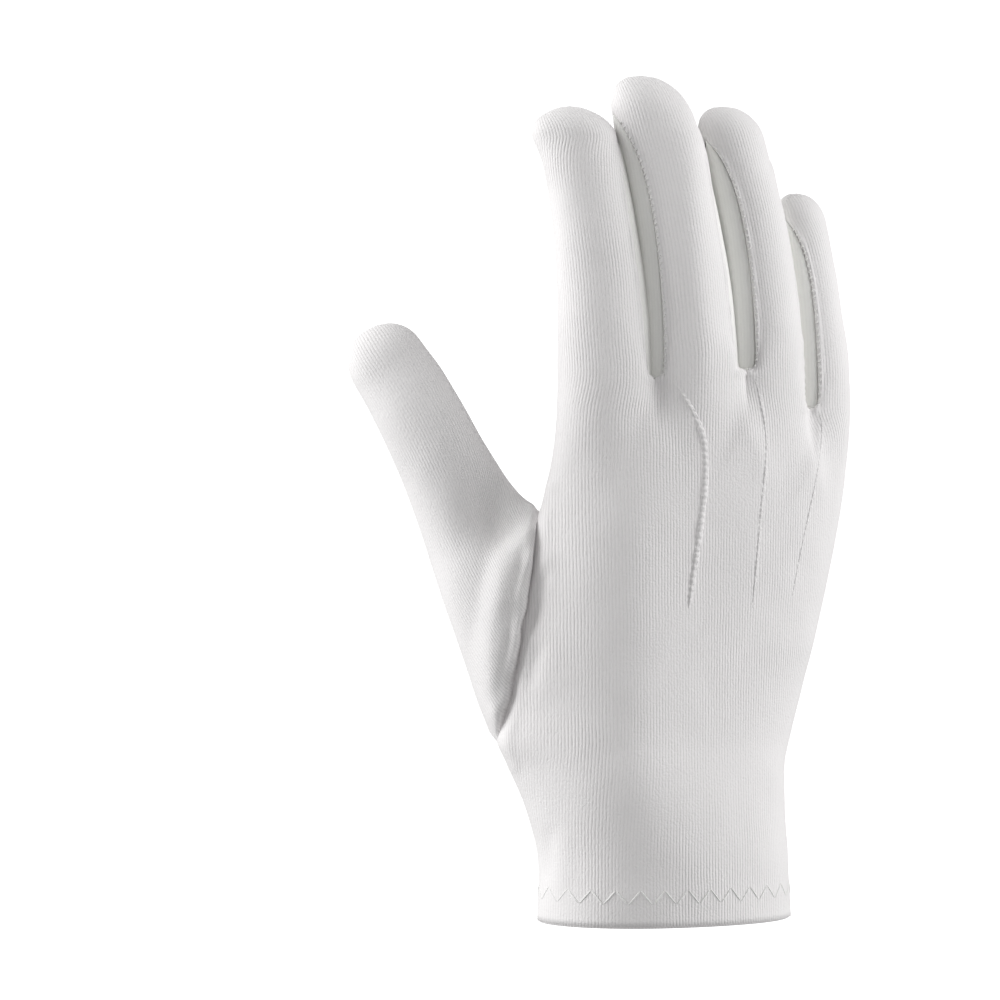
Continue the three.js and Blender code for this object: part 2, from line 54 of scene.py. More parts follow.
# The trank: one piece of bleached cotton stockinette that makes the palm, the back and the fronts
# and backs of the fingers. It is folded round the thumb side, closed by a seam on the little finger
# side, and has an oval hole for the thumb. Its shape is the hand's inside it, with soft folds.
palm_height = 158.5
little_drop = 8.0
wrist_breadth, wrist_depth = 74.0, 46.0
palm_breadth, palm_depth = 86.0, 35.0
hand_turn = np.radians(22)
knuckle_blend = 42.0
crease_blend = 20.0
palm_crease_blend = 37.0
crotch_opening = 13.0
finger_flatness = 0.88
cloth_thickness = 1.2
stitch_spacing = 1.9
# the oval hole for the thumb: its middle's height and angle round the hand, and half its height and
# breadth, the angle and breadth in degrees
oval_height, oval_half_height = 85.0, 34.0
oval_angle, oval_half_angle = -99.0, 25.0
# height, spread, thumb side, little finger side, back, palm, set back
hand_rows = np.array([
    (0, 0, -0.497, 0.501, 0.5, 0.5, 0),
    (0.12, 0, -0.496, 0.49, 0.5, 0.49, 0),
    (0.2, 0.1, -0.532, 0.472, 0.49, 0.48, 0),
    (0.28, 0.3, -0.584, 0.462, 0.49, 0.5, 0),
    (0.325, 0.4, -0.626, 0.475, 0.49, 0.51, 0.01),
    (0.4, 0.6, -0.59, 0.5, 0.49, 0.54, 0.02),
    (0.536, 0.8, -0.545, 0.551, 0.49, 0.56, 0.04),
    (0.694, 1, -0.459, 0.6, 0.48, 0.54, 0.06),
    (0.82, 1, -0.393, 0.622, 0.46, 0.48, 0.08),
    (1, 1, -0.365, 0.637, 0.43, 0.4, 0.09),
])
fingers = [
    dict(name="index", length=76.5, breadth=25.4, foot=0, across=-0.205, palmward=-0.286,
         turn=12, lean=0.126, curl=0.07, tip=0.32, power=1.8),
    dict(name="middle", length=86.0, breadth=26.4, foot=0, across=0.083, palmward=-0.075,
         turn=20, lean=0.16, curl=0.06, tip=0.46, power=2.2),
    dict(name="ring", length=78.0, breadth=22.2, foot=0, across=0.347, palmward=0.235,
         turn=38, lean=0.154, curl=0.06, tip=0.42, power=2.2),
    dict(name="little", length=61.5, breadth=18.0, foot=1, across=0.545, palmward=0.58,
         turn=48, lean=0.11, curl=0.05, tip=0.46, power=2.2),
]
# along, breadth, depth
finger_rows = np.array([
    (0, 1.06, 1.05),
    (0.25, 1.01, 1),
    (0.5, 0.95, 0.95),
    (0.75, 0.91, 0.88),
    (1, 0.89, 0.82),
])
seam_angle = 52.0
strip_end = 0.87
# where the index, middle, ring and little finger part, with the outer edges at either end
crotch_heights = palm_height - np.array([0, 2.2, 0, 10.4, little_drop])


def lerp(a, b, t):
    """a at t = 0, b at t = 1, straight between."""
    return a + (b - a) * t


def smooth(at, low, high):
    """3t² - 2t³, where t is the share of the way from low to high, kept within 0 and 1."""
    t = np.clip((at - low) / (high - low), 0, 1)
    return t * t * (3 - 2 * t)


def ridge(at, middle, width):
    """A bell of height 1 about a middle: e to the minus square of the distance over the width."""
    return np.exp(-((at - middle) / width) ** 2)


def column_at(rows, at, column):
    """A table's column on a cubic through its rows; a row's slope is the mean of its sides'."""
    x, y = rows[:, 0], rows[:, column]
    last = len(x) - 1
    k = np.clip(np.searchsorted(x, at) - 1, 0, last - 1)
    here = np.arange(last + 1)
    before, after = np.maximum(here - 1, 0), np.minimum(here + 1, last)
    slope = (y[after] - y[before]) / (x[after] - x[before])
    step = x[k + 1] - x[k]
    t = np.clip((at - x[k]) / step, 0, 1)
    rise = t * t * (3 - 2 * t)
    bends = t * (1 - t) ** 2 * step * slope[k] + t * t * (t - 1) * step * slope[k + 1]
    return lerp(y[k], y[k + 1], rise) + bends


def hand_section(z):
    """Centre, half breadth, back depth and palm depth of the hand's oval at a height."""
    spread, thumb_side, little_side, back, palm, set_back = (
        column_at(hand_rows, z / palm_height, column) for column in range(1, 7))
    breadth = lerp(wrist_breadth, palm_breadth, spread)
    depth = lerp(wrist_depth, palm_depth, spread)
    seen = (little_side - thumb_side) * breadth / 2
    mean = (back + palm) * depth / 2
    half = np.sqrt(seen ** 2 - (mean * np.sin(hand_turn)) ** 2) / np.cos(hand_turn)
    middle = (little_side + thumb_side) * breadth / 2
    return middle, set_back * depth, half, back * depth, palm * depth


def ring_point(angle, z):
    """centre + half breadth · sin(angle) · across + depth · cos(angle) · outward, in degrees from
    the middle of the back; the depth is the back's where the cosine is above 0, else the palm's."""
    angle, z = np.broadcast_arrays(np.radians(angle), np.asarray(z, float))
    x, y, half, back, palm = hand_section(z)
    side = half * np.sin(angle)
    out = np.where(np.cos(angle) > 0, back, palm) * np.cos(angle)
    return np.stack([x + side * np.cos(hand_turn) + out * np.sin(hand_turn),
                     y + side * np.sin(hand_turn) - out * np.cos(hand_turn), z], -1)


def tip_height(finger):
    """Height of a fingertip."""
    return palm_height - finger["foot"] * little_drop + finger["length"]


def finger_point(number, angle, z):
    """An oval round a line that leans and curls with the 1.9th power of the way up, its two half
    axes closing at the tip as (1 - b^p)^(1/p), where b rises from 0 to 1 over the round end."""
    finger = fingers[number]
    foot = palm_height - finger["foot"] * little_drop
    along = np.clip((z - foot) / finger["length"], 0, 1)
    bend = along ** 1.9 * finger["length"]
    below = np.clip((tip_height(finger) - z) / (finger["tip"] * finger["breadth"]), 0, 1)
    full = (1 - (1 - below) ** finger["power"]) ** (1 / finger["power"]) * finger["breadth"] / 2
    side = full * column_at(finger_rows, along, 1) * np.sin(np.radians(angle))
    out = full * finger_flatness * column_at(finger_rows, along, 2) * np.cos(np.radians(angle))
    turn = np.radians(finger["turn"])
    return np.stack([
        finger["across"] * palm_breadth - finger["lean"] * bend
        + side * np.cos(turn) + out * np.sin(turn),
        finger["palmward"] * palm_depth + finger["curl"] * bend
        + side * np.sin(turn) - out * np.cos(turn),
        z + 0 * side], -1)


def finger_angle(number, side, share, level):
    """Angle round a finger at a share of its back, little, palm or thumb side. A seam lies 52° from
    the middle of the back, and opens to 90° with the 9th power of the way to the strip's end."""
    opened = lerp(seam_angle, 90, np.clip((level - 1) / strip_end, 0, 1) ** 9)
    thumb_seam = opened if number > 0 else seam_angle
    little_seam = opened if number < 3 else seam_angle
    start, end = {"back": (-thumb_seam, little_seam), "little": (little_seam, 180 - little_seam),
                  "palm": (180 - little_seam, 180 + thumb_seam),
                  "thumb": (180 + thumb_seam, 360 - thumb_seam)}[side]
    return lerp(start, end, share)


def joined_point(number, side, share, level, z):
    """A finger's point, moved half the way to its neighbour's as it nears the seam between them.
    The move is whole at the crotch and dies away over the 13 mm above it, as half a cosine, and at
    the seam itself over 5 mm, so that the notch between the fingers is round at its bottom."""
    moved = finger_point(number, finger_angle(number, side, share, level), z)
    ahead = side in ("back", "palm")
    for by in (-1, 1):
        if not 0 <= number + by <= 3:
            continue
        if ahead:
            near = share if (by > 0) == (side == "back") else 1 - share
        else:
            near = float((side == "little") == (by > 0)) + 0 * share
        weight = smooth(near, 0.3, 1)
        risen = np.clip((z - crotch_heights[number + (by > 0)]) / crotch_opening, 0, 1)
        at_seam = 1 - (1 - (1 - np.clip(risen * 2.4, 0, 1)) ** 3) ** (1 / 3)
        on_cloth = (1 + np.cos(np.pi * risen)) / 2
        close = lerp(on_cloth, at_seam, weight ** 8)
        facing = {"little": "thumb", "thumb": "little"}.get(side, side)
        other_share = (float((by > 0) != (side == "back")) + 0 * share) if ahead else 1 - share
        own_share = 1 - other_share if ahead else share
        away = finger_point(number, finger_angle(number, side, own_share, level), z)
        to = finger_point(number + by, finger_angle(number + by, facing, other_share, level), z)
        moved = moved + (to - away) * (0.5 * weight * close)[..., None]
    return moved


def abreast(number, side, share):
    """Angle of the hand's oval that lies abreast of a finger's seam at its crotch."""
    z = crotch_heights[number + int((share == 1) == (side == "back"))]
    x, y, half, _, _ = hand_section(np.array(z))
    point = joined_point(number, side, np.array(float(share)), np.array(1.0), np.array(z))
    offset = (point[0] - x) * np.cos(hand_turn) + (point[1] - y) * np.sin(hand_turn)
    angle = np.degrees(np.arcsin(np.clip(offset / half, -0.97, 0.97)))
    return angle if side == "back" else 180 - angle


back_ends = [(abreast(n, "back", 0), abreast(n, "back", 1)) for n in range(4)]
palm_ends = [(abreast(n, "palm", 0), abreast(n, "palm", 1)) for n in range(4)]


def ring_ends(number, side):
    """The two angles of the hand's oval between which a finger's side runs down the hand."""
    return {"back": back_ends[number], "palm": palm_ends[number],
            "little": (back_ends[3][1], palm_ends[3][0]),
            "thumb": (palm_ends[0][1], 360 + back_ends[0][0])}[side]


def glove_point(number, side, share, level):
    """The glove's outside. Levels run from 0 at the hem to 1 at the crotches and 2 at the tips.
    Over the 42 mm below the crotches the hand's oval blends into the four fingers' sections, and
    over less toward the creases between them, 20 mm on the back and 37 mm on the palm."""
    share, level = np.broadcast_arrays(np.asarray(share, float), np.asarray(level, float))
    to_little = {"back": share, "palm": 1 - share, "little": 1, "thumb": 0}[side]
    crotch = lerp(crotch_heights[number], crotch_heights[number + 1], to_little)
    z = np.where(level > 1, lerp(crotch, tip_height(fingers[number]), level - 1), crotch * level)
    finger = joined_point(number, side, share, np.maximum(level, 1), np.maximum(z, crotch))
    finger[..., 2] = z
    ring = ring_point(lerp(*ring_ends(number, side), share), np.minimum(z, crotch))
    little_way = smooth(to_little, 0.45, 1) if number < 3 else 0
    thumb_way = smooth(1 - to_little, 0.45, 1) if number > 0 else 0
    crease = crease_blend if side == "back" else palm_crease_blend
    over = lerp(knuckle_blend, crease, np.maximum(little_way, thumb_way))
    blend = np.where(level > 1, 1, smooth(z, crotch - over, crotch))
    return lerp(ring, finger, blend[..., None])


def spaced(steps, evenness=0.5):
    """Shares from 0 to 1, closer at both ends: even steps mixed with a half cosine's."""
    q = np.linspace(0, 1, steps + 1)
    return lerp((1 - np.cos(np.pi * q)) / 2, q, evenness)


def run(points, axis):
    """Distance gone along rows (axis 1) or up columns (axis 0) of a grid of points."""
    steps = np.linalg.norm(np.diff(points, axis=axis), axis=-1)
    return np.concatenate([0 * np.take(steps, [0], axis), steps.cumsum(axis)], axis)


def cloth_grid(number, side, steps, levels):
    """Rows of points up a finger's side, and the cloth's own coordinates in mm: the distance along
    each row from its middle, so that the knit's ribs stay upright, and the distance up."""
    share, level = np.meshgrid(spaced(steps), levels)
    points = glove_point(number, side, share, level)
    around = run(points, 1)
    around = around - around[:, [steps // 2]]
    return points, np.stack([around, run(points, 0)], -1)


def upright_ribs(panels, low):
    """The ribs run straight up the hand, at their distance along the row from the plane x = 5, and
    on up each finger from where its middle stands at the crotch. low counts the hand's rows."""
    arcs = [coords[..., 0] - coords[:, :1, 0] for _, coords in panels]
    ends = np.cumsum([arc[:, -1] for arc in arcs], 0)
    row = [arc + (ends[k - 1][:, None] if k else 0) for k, arc in enumerate(arcs)]
    x = np.concatenate([points[..., 0] for points, _ in panels], 1)
    along = np.concatenate(row, 1)
    past = (x - 5) * np.sign(x[0, -1] - x[0, 0])
    k = np.clip((past < 0).sum(1), 1, x.shape[1] - 1)
    n = np.arange(len(k))
    t = past[n, k - 1] / (past[n, k - 1] - past[n, k])
    start = lerp(along[n, k - 1], along[n, k], t)
    for (_, coords), place in zip(panels, row):
        middle = place.shape[1] // 2
        from_middle = place - place[:, [middle]]
        start_here = np.where(n[:, None] < low, place[:, [middle]] - start[:, None],
                              place[low - 1, middle] - start[low - 1])
        coords[..., 0] = start_here + from_middle


def seam_lip(number, side, coords, share, level, z):
    """Relief of a finger's back or palm beside its side strips: the cloth turns down 0.55 mm at the
    seam and stands 0.5 mm up 1 mm from it, puckered by each of the overcast stitches."""
    width = coords[:, -1:, 0] - coords[:, :1, 0]
    total = 0 * share
    for by in (-1, 1):
        if 0 <= number + by <= 3:
            near = 1 - share if (by > 0) == (side == "back") else share
            off = near * width
            crotch = crotch_heights[number + (by > 0)]
            there = smooth(z, crotch - 2.5, crotch + 0.5) * (1 - smooth(level, 1.8, 1.87))
            pucker = 1 + 0.3 * np.sin(2 * np.pi * coords[..., 1] / stitch_spacing)
            total += there * (0.5 * pucker * ridge(off, 1.0, 0.6) - 0.55 * ridge(off, 0, 0.45))
    return total


def joined_mesh(grids):
    """Corners, triangles and cloth coordinates of grids of points. Corners less than 1/1000 mm
    apart are one, and cells that have shrunk to a line or a point give no triangle. Where the grids
    have a relief as well, it is returned for each corner."""
    points = np.concatenate([g[0].reshape(-1, 3) for g in grids])
    coords = np.concatenate([g[1].reshape(-1, 2) for g in grids])
    faces, start = [], 0
    for p in (g[0] for g in grids):
        k = start + np.arange(p[..., 0].size).reshape(-1, *p.shape[-3:-1])
        start = k[-1, -1, -1] + 1
        a, b, d, e = k[:, :-1, :-1], k[:, :-1, 1:], k[:, 1:, :-1], k[:, 1:, 1:]
        faces.append(np.stack([a, b, e, a, e, d], -1).reshape(-1, 3))
    faces = np.concatenate(faces)
    _, first, joined = np.unique(np.round(points * 1000 + 0.37).astype(np.int64), axis=0,
                                 return_index=True, return_inverse=True)
    corners = joined.reshape(-1)[faces]
    whole = ((corners != np.roll(corners, 1, 1)).all(1))
    result = points[first], corners[whole], coords[faces[whole]]
    if len(grids[0]) > 2:
        result = *result, np.concatenate([g[2].reshape(-1) for g in grids])[first]
    return result


def outward(points, corners):
    """Unit normal at each corner, the mean of the triangles round it."""
    a, b, c = (points[corners[:, k]] for k in range(3))
    flat = np.cross(b - a, c - a)
    sums = np.zeros_like(points)
    for k in range(3):
        np.add.at(sums, corners[:, k], flat)
    return sums / np.maximum(np.linalg.norm(sums, axis=1, keepdims=True), 1e-12)


def lumps(points, size, seed):
    """Soft uneven relief between -1 and 1: a lattice of seeded random values, smoothly mixed."""
    values = np.random.default_rng(seed).uniform(-1, 1, (24, 24, 24))
    at = points / size + 64
    low = np.floor(at).astype(int)
    t = at - low
    t = t * t * (3 - 2 * t)
    total = np.zeros(points.shape[:-1])
    for corner in np.ndindex(2, 2, 2):
        k = (low + corner) % 24
        share = np.prod(np.where(np.array(corner) == 1, t, 1 - t), axis=-1)
        total += share * values[k[..., 0], k[..., 1], k[..., 2]]
    return total


def fold(points, start, end, width):
    """A bell across the line from start to end, seen from the back, dying away at both its ends."""
    start, end = np.array(start, float), np.array(end, float)
    line = end - start
    to = points[..., [0, 2]] - start
    t = to @ line / (line @ line)
    off = (to[..., 0] * line[1] - to[..., 1] * line[0]) / np.linalg.norm(line)
    return np.exp(-(off / width) ** 2) * smooth(t, -0.15, 0.2) * (1 - smooth(t, 0.8, 1.15))


def hand_angle(points):
    """The angle of ring_point for points on the hand, from -270 to 90 degrees."""
    x, y, half, back, palm = hand_section(points[:, 2])
    dx, dy = points[:, 0] - x, points[:, 1] - y
    side = (dx * np.cos(hand_turn) + dy * np.sin(hand_turn)) / half
    out = dx * np.sin(hand_turn) - dy * np.cos(hand_turn)
    angle = np.degrees(np.arctan2(side, out / np.where(out > 0, back, palm)))
    return np.where(angle > 90, angle - 360, angle)


def swell(points):
    """The uneven softness of worn cloth, in mm, at three sizes."""
    return 0.35 * lumps(points, 26, 1) + 0.16 * lumps(points, 11, 2) + 0.05 * lumps(points, 5, 3)


def bone_ridge(points):
    """A broad ridge of 3 mm down the back below the index finger, dying away at both ends."""
    x, _, z = np.moveaxis(points, -1, 0)
    return 3 * ridge(x, -12 - 0.03 * (z - 90), 18) * smooth(z, 14, 45) * (1 - smooth(z, 110, 158))


def made(name, points, corners, coords, material, thickness=None):
    """A smooth object in metres from millimetre corners, with its cloth coordinates as a UV map.
    The thumb's side of the hand lies up to 9.3 mm further back than the even oval puts it."""
    x, _, z = points.T
    points = points.copy()
    lean = 7.5 * smooth(-x, 4, 60) + 1.8 * smooth(-x, 20, 44)
    points[:, 1] += lean * (1 - smooth(z, 105, 150))
    mesh = bpy.data.meshes.new(name)
    mesh.from_pydata(points * 0.001, [], corners)
    mesh.uv_layers.new(name="cloth").uv.foreach_set("vector", coords.reshape(-1).astype(np.float32))
    mesh.shade_smooth()
    mesh.materials.append(material)
    piece = bpy.data.objects.new(name, mesh)
    bpy.context.scene.collection.objects.link(piece)
    if thickness:
        wall = piece.modifiers.new("cloth thickness", "SOLIDIFY")
        wall.thickness = thickness * 0.001
        wall.offset = -1
    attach(piece, "root")
    return piece


def linear(hex_colour):
    """sRGB hex to linear red, green, blue and alpha."""
    s = np.array([int(hex_colour[k:k + 2], 16) for k in (1, 3, 5)]) / 255
    return (*np.where(s <= 0.04045, s / 12.92, ((s + 0.055) / 1.055) ** 2.4).tolist(), 1)


def add(tree, kind, settings=None, **inputs):
    """One node with its settings, and its inputs set to values or linked to outputs. The names of
    inputs are written with _ for a space, or in0, in1 by number."""
    node = tree.nodes.new(kind)
    for key, value in (settings or {}).items():
        setattr(node, key, value)
    for key, value in inputs.items():
        number = key[2:].isdigit() and key.startswith("in")
        socket = node.inputs[int(key[2:]) if number else key.replace("_", " ")]
        if isinstance(value, bpy.types.NodeSocket):
            tree.links.new(value, socket)
        else:
            socket.default_value = value
    return node.outputs


def cotton_knit(name, colour, painted_valley_shade, rib, course, depth):
    """Bleached cotton stockinette, knitted on a circular machine: ribs of small V stitches with
    painted shade in the valleys between, matt, with a faint light fuzz at the edges."""
    material = bpy.data.materials.new(name)
    material.use_nodes = True
    tree = material.node_tree
    tree.nodes.clear()
    place = add(tree, "ShaderNodeUVMap", {"uv_map": "cloth"})[0]
    around, up, _ = add(tree, "ShaderNodeSeparateXYZ", Vector=place)[:3]
    math = lambda operation, *v: add(tree, "ShaderNodeMath", {"operation": operation},
                                     **{f"in{k}": x for k, x in enumerate(v)})[0]
    body = add(tree, "ShaderNodeTexCoord")["Object"]
    drift = add(tree, "ShaderNodeTexNoise", {"noise_dimensions": "3D"}, Vector=body, Scale=120.0,
                Detail=1.0)["Fac"]
    # the distance from the middle of a rib, 0 to 1, a little uneven from rib to rib
    wander = math("MULTIPLY", math("SUBTRACT", drift, 0.5), 0.5)
    from_rib = math("ABSOLUTE", math("SUBTRACT", math("MULTIPLY", math("FRACT", math(
        "ADD", math("DIVIDE", around, rib), wander)), 2.0), 1.0))
    rib_round = math("SUBTRACT", 1.0, math("POWER", from_rib, 2.2))
    # V stitches: the courses run up toward the rib's valleys
    course_phase = math("ADD", math("DIVIDE", up, course), math("MULTIPLY", from_rib, 0.5))
    stitch = math("ABSOLUTE", math("SINE", math("MULTIPLY", course_phase, np.pi)))
    fuzz = add(tree, "ShaderNodeTexNoise", {}, Vector=body, Scale=1500.0, Detail=3.0)["Fac"]
    # the ribs stand out in some places and are pulled almost flat in others
    patch = add(tree, "ShaderNodeTexNoise", {}, Vector=body, Scale=35.0, Detail=2.0)["Fac"]
    standing = math("MULTIPLY", rib_round, math("MULTIPLY_ADD", patch, 2.6, -0.7))
    relief = math("ADD", math("ADD", standing, math("MULTIPLY", stitch, 0.08)),
                  math("MULTIPLY", fuzz, 1.5))
    broad = add(tree, "ShaderNodeTexNoise", {}, Vector=body, Scale=45.0, Detail=3.0)["Fac"]
    # painted shade: the colour falls toward the valley colour away from each rib's crest, where shade
    # lies between the ribs, and the fibre fuzz and a broad mottling vary it at random
    light = math("ADD", math("MULTIPLY", rib_round, 0.6),
                 math("ADD", math("MULTIPLY", fuzz, 0.5), math("MULTIPLY", broad, 0.3)))
    shade = add(tree, "ShaderNodeMix", {"data_type": "RGBA", "clamp_factor": True}, in0=light,
                in6=linear(painted_valley_shade), in7=linear(colour))[2]
    bump = add(tree, "ShaderNodeBump", {}, Strength=1.0, Distance=depth * 0.001, Height=relief)[0]
    shader = add(tree, "ShaderNodeBsdfPrincipled", {}, Base_Color=shade, Roughness=0.92,
                 Specular_IOR_Level=0.25, Sheen_Weight=0.25, Sheen_Roughness=0.45, Normal=bump)[0]
    add(tree, "ShaderNodeOutputMaterial", {}, Surface=shader)
    return material


# The ribs of the real knit are about 1 mm apart, which the render just shows.
rib_spacing, course_spacing = 0.95, 0.85
# the second colour is painted shade for the valleys between the ribs
stockinette = cotton_knit(
    "bleached_cotton_stockinette", "#FAF8F8", "#EAE8E8", rib_spacing, course_spacing, 0.115)

# rows of points up the glove, closer together near the crotches and at the tips
finger_levels = 1 + spaced(64, 0.4)
hand_levels = 1 - (1 - np.linspace(0, 1, 110)) ** 1.15
all_levels = np.concatenate([hand_levels, finger_levels[1:]])
backs = [cloth_grid(n, "back", 28, all_levels) for n in range(4)]
fronts = [cloth_grid(n, "palm", 18, all_levels) for n in (3, 2, 1, 0)]
outer_edge = cloth_grid(3, "little", 20, all_levels)
thumb_edge = cloth_grid(0, "thumb", 16, all_levels)
upright_ribs(backs, len(hand_levels))
upright_ribs(fronts, len(hand_levels))
outer_edge[1][..., 0] += backs[3][1][:, -1:, 0] - outer_edge[1][:, :1, 0]
thumb_edge[1][..., 0] += backs[0][1][:, :1, 0] - thumb_edge[1][:, -1:, 0]
panels = []
for number, side, steps, panel in [(n, "back", 28, backs[n]) for n in range(4)] + [
        (3 - n, "palm", 18, fronts[n]) for n in range(4)]:
    share, level = np.meshgrid(spaced(steps), all_levels)
    panels.append((*panel, seam_lip(number, side, panel[1], share, level, panel[0][..., 2])))
# the closing seam runs down the little finger's outer edge and on to the palm side of the wrist
share, level = np.meshgrid(spaced(20), all_levels)
seam_share = 0.5 + 0.3 * (1 - smooth(outer_edge[0][..., 2], 20, 120))
off = (share - seam_share) * (outer_edge[1][:, -1:, 0] - outer_edge[1][:, :1, 0])
closing = 0.3 * ridge(np.abs(off), 1.2, 0.6) - 0.45 * ridge(off, 0, 0.5)
panels.append((*outer_edge, closing * (1 - smooth(level, 1.9, 1.97))))
panels.append((*thumb_edge, 0 * thumb_edge[1][..., 0]))
points, corners, coords, lips = joined_mesh(panels)
normals = outward(points, corners)
facing_back = smooth(-normals[:, 1], -0.1, 0.5)
x, y, z = points.T
angle = hand_angle(points)
# how far from the middle of the thumb's oval, 1 on its seam
reach = np.hypot((angle - oval_angle) / oval_half_angle, (z - oval_height) / oval_half_height)
# the cloth is drawn in at the thumb's seam and stands up beside it, with a low swelling on the back
beside_seam = 0.3 * ridge(reach, 1.35, 0.15) * (1 + lumps(points, 6, 12))
seam_dip = (beside_seam - 0.8 * ridge(reach, 1, 0.16)) * (z > 44) * (z < 126)
seam_dip += 1.2 * ridge(angle, -58, 14) * ridge(z, 73, 12)
# a rolled lip runs along the bottom of each notch
notch_lip = 0
lip_reach, lip_drop = 2.8, 0.9
for number in range(3):
    for side, facing in (("back", facing_back), ("palm", 1 - facing_back)):
        at_x, _, at_z = glove_point(number, side, 1.0 if side == "back" else 0.0, 1.0)
        start, end = (at_x - lip_reach, at_z - lip_drop), (at_x + lip_reach, at_z - lip_drop)
        notch_lip = notch_lip + 0.45 * facing * fold(points, start, end, 0.7)
# the middle finger's back has an edge along it, where the photograph's shading changes
finger_edge = 1.6 * ridge(x, lerp(10, 7, smooth(z, 160, 200)), 6)
finger_edge *= smooth(z, 140, 165) * (1 - smooth(z, 225, 240))
# folds on the back: three beside the thumb's seam, two above the hem's end
folds = (
    0.8 * fold(points, (-34, 106), (-37, 92), 3.2)
    - 1.2 * fold(points, (-34.6, 101), (-38, 84), 1.8)
    - 0.7 * fold(points, (-36, 80), (-39, 68), 2)
    - 0.45 * fold(points, (-33, 27), (-34, 12), 1.8)
    + 0.3 * fold(points, (-29, 26), (-30, 10), 2.8))
index_corner = 1.8 * ridge(x, -38, 4) * ridge(z, 227, 6)
hem_step = 0.15 * (1 - smooth(z, 9.2, 10.8))
relief = (
    lips + seam_dip + notch_lip + swell(points)
    + facing_back * (bone_ridge(points) + folds + finger_edge)
    + index_corner + hem_step)
points = points + normals * relief[:, None]
hole = reach[corners].max(1) < 0.95
hole &= np.abs(z[corners].mean(1) - oval_height) < oval_half_height
trank = made("trank_cloth", points, corners[~hole], coords[~hole], stockinette, cloth_thickness)
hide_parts("trank")


# The side strips between the fingers: narrow pieces of the same cotton, cut along the knit, sewn up
# one finger and down the next, and rounded in the crotch. They are pulled flat, so they look smooth.
# Their colours are painted light: lighter and a little warmer than the trank's, standing in for the
# light bounced onto them between the fingers.
strip_knit_painted_light = cotton_knit(
    "bleached_cotton_strip", "#FEFEFB", "#F6F6F3", rib_spacing, course_spacing, 0.05)
strip_levels = 1 + strip_end * spaced(56, 0.4)
for number, name in enumerate(
        ["fourchette_index_middle", "fourchette_middle_ring", "fourchette_ring_little"]):
    share = np.broadcast_to(spaced(14), (57, 15))
    crown = 0.7 * np.sin(np.pi * share) - 0.6 * (ridge(share, 0, 0.06) + ridge(share, 1, 0.06))
    halves = [(*cloth_grid(number + by, side, 14, strip_levels), crown)
              for by, side in ((0, "little"), (1, "thumb"))]
    points, corners, coords, crowned = joined_mesh(halves)
    normals = outward(points, corners)
    points = points + normals * (crowned + 0.12 * lumps(points, 9, 4 + number))[:, None]
    strip = made(name + "_cloth", points, corners, coords, strip_knit_painted_light, cloth_thickness)
    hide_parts(name)


# The thumb: a sleeve of the same stockinette, its ribs running up the thumb, gathered a little
# where it is sewn into the oval hole of the trank. A puffed fold of it lies over the seam.
thumb_length, thumb_breadth, thumb_depth = 96.0, 26.6, 23.0
thumb_lean = np.radians(27)
thumb_palmward = 14.0
# along, bow, breadth, depth, tilt
thumb_rows = np.array([
    (0.12, 0.004, 2.05, 1.35, 70),
    (0.2, 0.006, 1.72, 1.24, 66),
    (0.31, 0.01, 1.48, 1.14, 62),
    (0.454, 0.022, 1.22, 1.04, 55),
    (0.6, 0.032, 1.08, 0.99, 50),
    (0.766, 0.03, 0.95, 0.92, 43),
    (0.87, 0.02, 0.88, 0.82, 38),
    (1, 0.004, 0.84, 0.74, 30),
])


def seam_oval(turn, sink, wider=1):
    """The thumb's seam on the hand, sunk below its surface: the oval's middle height + half height
    · cos(turn), and its middle angle + half angle · sin(turn) round the hand."""
    z = oval_height + oval_half_height * wider * np.cos(turn)
    angle = oval_angle + oval_half_angle * wider * np.sin(turn)
    point = ring_point(angle, z)
    out = np.cross(ring_point(angle + 1, z) - point, ring_point(angle, z + 1) - point)
    return point - sink * out / np.linalg.norm(out, axis=-1, keepdims=True)


def thumb_point(turn, along):
    """Mix of the oval and the thumb's own sections, by a smooth step of the way along from -0.12 to
    0.3. A section is an oval about a leaning, bowed line; the tip closes as a 2.3rd power."""
    foot = (seam_oval(np.array(0.0), 0) + seam_oval(np.array(np.pi), 0)) / 2
    bow, breadth, depth, tilt = (column_at(thumb_rows, along, k) for k in range(1, 5))
    into = np.clip((along - 0.88) / 0.12, 0, 1)
    full = (1 - into ** 2.3) ** (1 / 2.3)
    wide = thumb_breadth / 2 * breadth * full * np.cos(turn)
    tilt = np.radians(tilt)
    section = foot + np.stack([
        -np.sin(thumb_lean) * along * thumb_length + np.cos(thumb_lean) * bow * thumb_length
        + wide * np.cos(tilt),
        thumb_palmward * along - thumb_depth / 2 * depth * full * np.sin(turn),
        np.cos(thumb_lean) * along * thumb_length + wide * np.sin(tilt)], -1)
    start = smooth(0, -0.12, 0.3)
    mix = (smooth(along, -0.12, 0.3) - start) / (1 - start)
    sink = 0.9 * (1 - smooth(along, 0, 0.09))[..., None]
    return lerp(seam_oval(turn, sink), section, mix[..., None])


turn, along = np.meshgrid(
    np.linspace(2 * np.pi, 0, 121), np.sin(np.pi / 2 * np.linspace(0, 1, 120)))
sleeve = thumb_point(turn, along)
# three rings of seam allowance, turned in under the trank
sinks, widths = np.array([1.9, 1.5, 1.15]), np.array([1.04, 1.03, 1.015])
sunk = seam_oval(turn[:3], sinks[:, None, None], widths[:, None])
sleeve = np.concatenate([sunk, sleeve[1:]])
around = run(sleeve, 1)
coords = np.stack([around - around[:, [90]], run(sleeve, 0)], -1)
way = np.concatenate([np.zeros((3, 121)), along[1:]])
round_turn = np.concatenate([turn[:3], turn[1:]])
